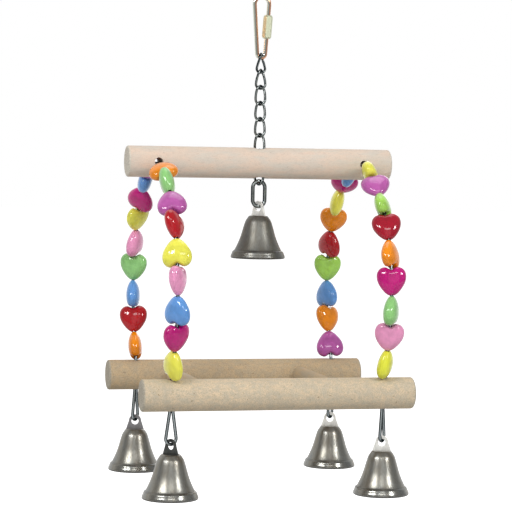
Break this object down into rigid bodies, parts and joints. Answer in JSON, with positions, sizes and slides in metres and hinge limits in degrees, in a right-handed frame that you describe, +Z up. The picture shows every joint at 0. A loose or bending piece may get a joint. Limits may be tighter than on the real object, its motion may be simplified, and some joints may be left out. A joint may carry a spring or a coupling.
{
  "type": "bird swing",
  "caption": "Hanging wooden perch swing for a small bird: a beam on a twisted-link chain, heart-bead arches, perch rails and bells.",
  "frame": {"origin": "the hang point: inside the top of the hanger link's arch, where a cage wire bears", "axes": "+Z up, X along the beam and the rails, -Y to the front"},
  "size_m": [0.131, 0.1243, 0.2373],
  "materials": {
    "beech": "smooth bare beech",
    "rail_wood": "rough sanded bare wood with dark flecks",
    "steel": "bright plated steel wire",
    "nickel": "dark nickel plate",
    "bell_metal": "dark pewter, brushed up and down",
    "end_beads": "glossy, a colour for each bead",
    "bead_orange": "glossy",
    "bead_mint": "glossy",
    "bead_lime": "glossy",
    "bead_orchid": "glossy",
    "bead_magenta": "glossy",
    "bead_red": "glossy",
    "bead_yellow": "glossy",
    "bead_pink": "glossy",
    "bead_blue": "glossy"
  },
  "bodies": {
    "hanger": {"hanger_link": "steel"},
    "sleeve": {"hanger_sleeve": "steel"},
    "link_1": {"chain_link_1": "nickel"},
    "link_2": {"chain_link_2": "nickel"},
    "link_3": {"chain_link_3": "nickel"},
    "link_4": {"chain_link_4": "nickel"},
    "link_5": {"chain_link_5": "nickel"},
    "link_6": {"chain_link_6": "nickel"},
    "link_7": {"chain_link_7": "nickel"},
    "link_8": {"chain_link_8": "nickel"},
    "centre_ring": {"centre_ring": "nickel"},
    "centre_bell": {"centre_bell": "bell_metal"},
    "centre_clapper": {"centre_clapper": "nickel"},
    "beam": {"beam": "beech"},
    "left_wire": {"left_wire": "steel", "left_end_beads": "end_beads"},
    "right_wire": {"right_wire": "steel", "right_end_beads": "end_beads"},
    "rails": {"front_rail": "rail_wood", "back_rail": "rail_wood", "left_rung": "beech", "right_rung": "beech"},
    "front_left_bell": {"front_left_bell": "bell_metal"},
    "front_left_clapper": {"front_left_clapper": "nickel"},
    "front_left_bead_2": {"front_left_bead_2": "bead_mint"},
    "front_left_bead_3": {"front_left_bead_3": "bead_orchid"},
    "front_left_bead_4": {"front_left_bead_4": "bead_red"},
    "front_left_bead_5": {"front_left_bead_5": "bead_yellow"},
    "front_left_bead_6": {"front_left_bead_6": "bead_pink"},
    "front_left_bead_7": {"front_left_bead_7": "bead_blue"},
    "front_left_bead_8": {"front_left_bead_8": "bead_magenta"},
    "back_left_bell": {"back_left_bell": "bell_metal"},
    "back_left_clapper": {"back_left_clapper": "nickel"},
    "back_left_bead_2": {"back_left_bead_2": "bead_blue"},
    "back_left_bead_3": {"back_left_bead_3": "bead_magenta"},
    "back_left_bead_4": {"back_left_bead_4": "bead_yellow"},
    "back_left_bead_5": {"back_left_bead_5": "bead_pink"},
    "back_left_bead_6": {"back_left_bead_6": "bead_mint"},
    "back_left_bead_7": {"back_left_bead_7": "bead_blue"},
    "back_left_bead_8": {"back_left_bead_8": "bead_red"},
    "front_right_bell": {"front_right_bell": "bell_metal"},
    "front_right_clapper": {"front_right_clapper": "nickel"},
    "front_right_bead_2": {"front_right_bead_2": "bead_orchid"},
    "front_right_bead_3": {"front_right_bead_3": "bead_lime"},
    "front_right_bead_4": {"front_right_bead_4": "bead_red"},
    "front_right_bead_5": {"front_right_bead_5": "bead_orange"},
    "front_right_bead_6": {"front_right_bead_6": "bead_magenta"},
    "front_right_bead_7": {"front_right_bead_7": "bead_mint"},
    "front_right_bead_8": {"front_right_bead_8": "bead_pink"},
    "back_right_bell": {"back_right_bell": "bell_metal"},
    "back_right_clapper": {"back_right_clapper": "nickel"},
    "back_right_bead_2": {"back_right_bead_2": "bead_magenta"},
    "back_right_bead_3": {"back_right_bead_3": "bead_yellow"},
    "back_right_bead_4": {"back_right_bead_4": "bead_orange"},
    "back_right_bead_5": {"back_right_bead_5": "bead_red"},
    "back_right_bead_6": {"back_right_bead_6": "bead_lime"},
    "back_right_bead_7": {"back_right_bead_7": "bead_blue"},
    "back_right_bead_8": {"back_right_bead_8": "bead_orange"}
  },
  "joints": [
    {"name": "sleeve_slide", "type": "slide", "parent": "hanger", "child": "sleeve", "axis": [0.0672, 0, 0.9977], "range_m": [0, 0.00468]},
    {"name": "link_1_swing", "type": "hinge", "parent": "hanger", "child": "link_1", "pos_m": [0, 0, -0.02835], "axis": [1, 0, 0], "range_deg": [-30, 30]},
    {"name": "link_2_swing", "type": "hinge", "parent": "link_1", "child": "link_2", "pos_m": [0, 0, -0.0343], "axis": [0.4226, 0.9063, 0], "range_deg": [-30, 30]},
    {"name": "link_3_swing", "type": "hinge", "parent": "link_2", "child": "link_3", "pos_m": [0, 0, -0.0434], "axis": [0.9063, -0.4226, 0], "range_deg": [-30, 30]},
    {"name": "link_4_swing", "type": "hinge", "parent": "link_3", "child": "link_4", "pos_m": [0, 0, -0.0498], "axis": [0.7071, 0.7071, 0], "range_deg": [-30, 30]},
    {"name": "link_5_swing", "type": "hinge", "parent": "link_4", "child": "link_5", "pos_m": [0, 0, -0.0589], "axis": [0.7071, -0.7071, 0], "range_deg": [-30, 30]},
    {"name": "link_6_swing", "type": "hinge", "parent": "link_5", "child": "link_6", "pos_m": [0, 0, -0.0653], "axis": [0.7071, 0.7071, 0], "range_deg": [-30, 30]},
    {"name": "link_7_swing", "type": "hinge", "parent": "link_6", "child": "link_7", "pos_m": [0, 0, -0.0744], "axis": [0.7071, -0.7071, 0], "range_deg": [-2, 2]},
    {"name": "link_8_swing", "type": "hinge", "parent": "link_7", "child": "link_8", "pos_m": [0, 0, -0.0808], "axis": [0.9563, 0.2924, 0], "range_deg": [-2, 2]},
    {"name": "ring_swing", "type": "hinge", "parent": "link_8", "child": "centre_ring", "pos_m": [0, 0, -0.0899], "axis": [0.2924, -0.9563, 0], "range_deg": [-20, 20]},
    {"name": "centre_bell_swing", "type": "hinge", "parent": "centre_ring", "child": "centre_bell", "pos_m": [0, 0, -0.10057], "axis": [0.9848, 0.1736, 0], "range_deg": [-40, 40]},
    {"name": "centre_clapper_swing", "type": "hinge", "parent": "centre_bell", "child": "centre_clapper", "pos_m": [0, 0, -0.10813], "axis": [0.5592, -0.829, 0], "range_deg": [-20, 20]},
    {"name": "beam_turn", "type": "hinge", "parent": "link_8", "child": "beam", "pos_m": [0, 0, -0.0795], "axis": [0, 0, 1], "continuous": true},
    {"name": "left_sway", "type": "hinge", "parent": "beam", "child": "left_wire", "pos_m": [-0.051, 0, -0.08042], "axis": [0, 1, 0], "range_deg": [-2, 2]},
    {"name": "right_sway", "type": "hinge", "parent": "beam", "child": "right_wire", "pos_m": [0.051, 0, -0.08042], "axis": [0, 1, 0], "range_deg": [-2, 2]},
    {"name": "rails_level", "type": "hinge", "parent": "left_wire", "child": "rails", "pos_m": [-0.051, 0, -0.1871], "axis": [0, 1, 0], "range_deg": [-2, 2]},
    {"name": "front_left_bell_swing", "type": "hinge", "parent": "left_wire", "child": "front_left_bell", "pos_m": [-0.051, -0.0455, -0.2099], "axis": [0.9613, 0.2756, 0], "range_deg": [-40, 40]},
    {"name": "front_left_clapper_swing", "type": "hinge", "parent": "front_left_bell", "child": "front_left_clapper", "pos_m": [-0.051, -0.0455, -0.21758], "axis": [0.6428, -0.766, 0], "range_deg": [-20, 20]},
    {"name": "front_left_bead_2_spin", "type": "hinge", "parent": "left_wire", "child": "front_left_bead_2", "pos_m": [-0.051, -0.02814, -0.08948], "axis": [0, 0.8365, 0.548], "range_deg": [-20, 20]},
    {"name": "front_left_bead_3_spin", "type": "hinge", "parent": "left_wire", "child": "front_left_bead_3", "pos_m": [-0.051, -0.03885, -0.09836], "axis": [0, 0.694, 0.72], "continuous": true},
    {"name": "front_left_bead_4_spin", "type": "hinge", "parent": "left_wire", "child": "front_left_bead_4", "pos_m": [-0.051, -0.04667, -0.10833], "axis": [0, 0.5339, 0.8456], "continuous": true},
    {"name": "front_left_bead_5_spin", "type": "hinge", "parent": "left_wire", "child": "front_left_bead_5", "pos_m": [-0.051, -0.05274, -0.12085], "axis": [0, 0.3328, 0.943], "continuous": true},
    {"name": "front_left_bead_6_spin", "type": "hinge", "parent": "left_wire", "child": "front_left_bead_6", "pos_m": [-0.051, -0.05572, -0.13317], "axis": [0, 0.135, 0.9908], "continuous": true},
    {"name": "front_left_bead_7_spin", "type": "hinge", "parent": "left_wire", "child": "front_left_bead_7", "pos_m": [-0.051, -0.05604, -0.14708], "axis": [0, -0.0883, 0.9961], "continuous": true},
    {"name": "front_left_bead_8_spin", "type": "hinge", "parent": "left_wire", "child": "front_left_bead_8", "pos_m": [-0.051, -0.05365, -0.15952], "axis": [0, -0.2882, 0.9576], "continuous": true},
    {"name": "back_left_bell_swing", "type": "hinge", "parent": "left_wire", "child": "back_left_bell", "pos_m": [-0.051, 0.0455, -0.2099], "axis": [0.6157, 0.788, 0], "range_deg": [-40, 40]},
    {"name": "back_left_clapper_swing", "type": "hinge", "parent": "back_left_bell", "child": "back_left_clapper", "pos_m": [-0.051, 0.0455, -0.21758], "axis": [0.9781, -0.2079, 0], "range_deg": [-20, 20]},
    {"name": "back_left_bead_2_spin", "type": "hinge", "parent": "left_wire", "child": "back_left_bead_2", "pos_m": [-0.051, 0.02814, -0.08948], "axis": [0, -0.8365, 0.548], "range_deg": [-20, 20]},
    {"name": "back_left_bead_3_spin", "type": "hinge", "parent": "left_wire", "child": "back_left_bead_3", "pos_m": [-0.051, 0.03885, -0.09836], "axis": [0, -0.694, 0.72], "continuous": true},
    {"name": "back_left_bead_4_spin", "type": "hinge", "parent": "left_wire", "child": "back_left_bead_4", "pos_m": [-0.051, 0.04667, -0.10833], "axis": [0, -0.5339, 0.8456], "continuous": true},
    {"name": "back_left_bead_5_spin", "type": "hinge", "parent": "left_wire", "child": "back_left_bead_5", "pos_m": [-0.051, 0.05274, -0.12085], "axis": [0, -0.3328, 0.943], "continuous": true},
    {"name": "back_left_bead_6_spin", "type": "hinge", "parent": "left_wire", "child": "back_left_bead_6", "pos_m": [-0.051, 0.05572, -0.13317], "axis": [0, -0.135, 0.9908], "continuous": true},
    {"name": "back_left_bead_7_spin", "type": "hinge", "parent": "left_wire", "child": "back_left_bead_7", "pos_m": [-0.051, 0.05604, -0.14708], "axis": [0, 0.0883, 0.9961], "continuous": true},
    {"name": "back_left_bead_8_spin", "type": "hinge", "parent": "left_wire", "child": "back_left_bead_8", "pos_m": [-0.051, 0.05365, -0.15952], "axis": [0, 0.2882, 0.9576], "continuous": true},
    {"name": "front_right_bell_swing", "type": "hinge", "parent": "right_wire", "child": "front_right_bell", "pos_m": [0.051, -0.0455, -0.2099], "axis": [0.6157, 0.788, 0], "range_deg": [-40, 40]},
    {"name": "front_right_clapper_swing", "type": "hinge", "parent": "front_right_bell", "child": "front_right_clapper", "pos_m": [0.051, -0.0455, -0.21758], "axis": [0.9781, -0.2079, 0], "range_deg": [-20, 20]},
    {"name": "front_right_bead_2_spin", "type": "hinge", "parent": "right_wire", "child": "front_right_bead_2", "pos_m": [0.051, -0.02814, -0.08948], "axis": [0, 0.8365, 0.548], "range_deg": [-20, 20]},
    {"name": "front_right_bead_3_spin", "type": "hinge", "parent": "right_wire", "child": "front_right_bead_3", "pos_m": [0.051, -0.03885, -0.09836], "axis": [0, 0.694, 0.72], "continuous": true},
    {"name": "front_right_bead_4_spin", "type": "hinge", "parent": "right_wire", "child": "front_right_bead_4", "pos_m": [0.051, -0.04667, -0.10833], "axis": [0, 0.5339, 0.8456], "continuous": true},
    {"name": "front_right_bead_5_spin", "type": "hinge", "parent": "right_wire", "child": "front_right_bead_5", "pos_m": [0.051, -0.05274, -0.12085], "axis": [0, 0.3328, 0.943], "continuous": true},
    {"name": "front_right_bead_6_spin", "type": "hinge", "parent": "right_wire", "child": "front_right_bead_6", "pos_m": [0.051, -0.05572, -0.13317], "axis": [0, 0.135, 0.9908], "continuous": true},
    {"name": "front_right_bead_7_spin", "type": "hinge", "parent": "right_wire", "child": "front_right_bead_7", "pos_m": [0.051, -0.05604, -0.14708], "axis": [0, -0.0883, 0.9961], "continuous": true},
    {"name": "front_right_bead_8_spin", "type": "hinge", "parent": "right_wire", "child": "front_right_bead_8", "pos_m": [0.051, -0.05365, -0.15952], "axis": [0, -0.2882, 0.9576], "continuous": true},
    {"name": "back_right_bell_swing", "type": "hinge", "parent": "right_wire", "child": "back_right_bell", "pos_m": [0.051, 0.0455, -0.2099], "axis": [0.6157, 0.788, 0], "range_deg": [-40, 40]},
    {"name": "back_right_clapper_swing", "type": "hinge", "parent": "back_right_bell", "child": "back_right_clapper", "pos_m": [0.051, 0.0455, -0.21758], "axis": [0.9781, -0.2079, 0], "range_deg": [-20, 20]},
    {"name": "back_right_bead_2_spin", "type": "hinge", "parent": "right_wire", "child": "back_right_bead_2", "pos_m": [0.051, 0.02814, -0.08948], "axis": [0, -0.8365, 0.548], "range_deg": [-20, 20]},
    {"name": "back_right_bead_3_spin", "type": "hinge", "parent": "right_wire", "child": "back_right_bead_3", "pos_m": [0.051, 0.03885, -0.09836], "axis": [0, -0.694, 0.72], "continuous": true},
    {"name": "back_right_bead_4_spin", "type": "hinge", "parent": "right_wire", "child": "back_right_bead_4", "pos_m": [0.051, 0.04667, -0.10833], "axis": [0, -0.5339, 0.8456], "continuous": true},
    {"name": "back_right_bead_5_spin", "type": "hinge", "parent": "right_wire", "child": "back_right_bead_5", "pos_m": [0.051, 0.05274, -0.12085], "axis": [0, -0.3328, 0.943], "continuous": true},
    {"name": "back_right_bead_6_spin", "type": "hinge", "parent": "right_wire", "child": "back_right_bead_6", "pos_m": [0.051, 0.05572, -0.13317], "axis": [0, -0.135, 0.9908], "continuous": true},
    {"name": "back_right_bead_7_spin", "type": "hinge", "parent": "right_wire", "child": "back_right_bead_7", "pos_m": [0.051, 0.05604, -0.14708], "axis": [0, 0.0883, 0.9961], "continuous": true},
    {"name": "back_right_bead_8_spin", "type": "hinge", "parent": "right_wire", "child": "back_right_bead_8", "pos_m": [0.051, 0.05365, -0.15952], "axis": [0, 0.2882, 0.9576], "continuous": true}
  ],
  "couplings": [
    {"joint": "right_sway", "follows": "left_sway", "ratio": 1},
    {"joint": "rails_level", "follows": "left_sway", "ratio": -1},
    {"joint": "front_left_bead_7_spin", "follows": "front_left_bead_8_spin", "ratio": 1},
    {"joint": "front_left_bead_5_spin", "follows": "front_left_bead_6_spin", "ratio": 1},
    {"joint": "front_left_bead_3_spin", "follows": "front_left_bead_4_spin", "ratio": 1},
    {"joint": "back_left_bead_7_spin", "follows": "back_left_bead_8_spin", "ratio": 1},
    {"joint": "back_left_bead_5_spin", "follows": "back_left_bead_6_spin", "ratio": 1},
    {"joint": "back_left_bead_3_spin", "follows": "back_left_bead_4_spin", "ratio": 1},
    {"joint": "front_right_bead_7_spin", "follows": "front_right_bead_8_spin", "ratio": 1},
    {"joint": "front_right_bead_5_spin", "follows": "front_right_bead_6_spin", "ratio": 1},
    {"joint": "front_right_bead_3_spin", "follows": "front_right_bead_4_spin", "ratio": 1},
    {"joint": "back_right_bead_7_spin", "follows": "back_right_bead_8_spin", "ratio": 1},
    {"joint": "back_right_bead_5_spin", "follows": "back_right_bead_6_spin", "ratio": 1},
    {"joint": "back_right_bead_3_spin", "follows": "back_right_bead_4_spin", "ratio": 1}
  ]
}
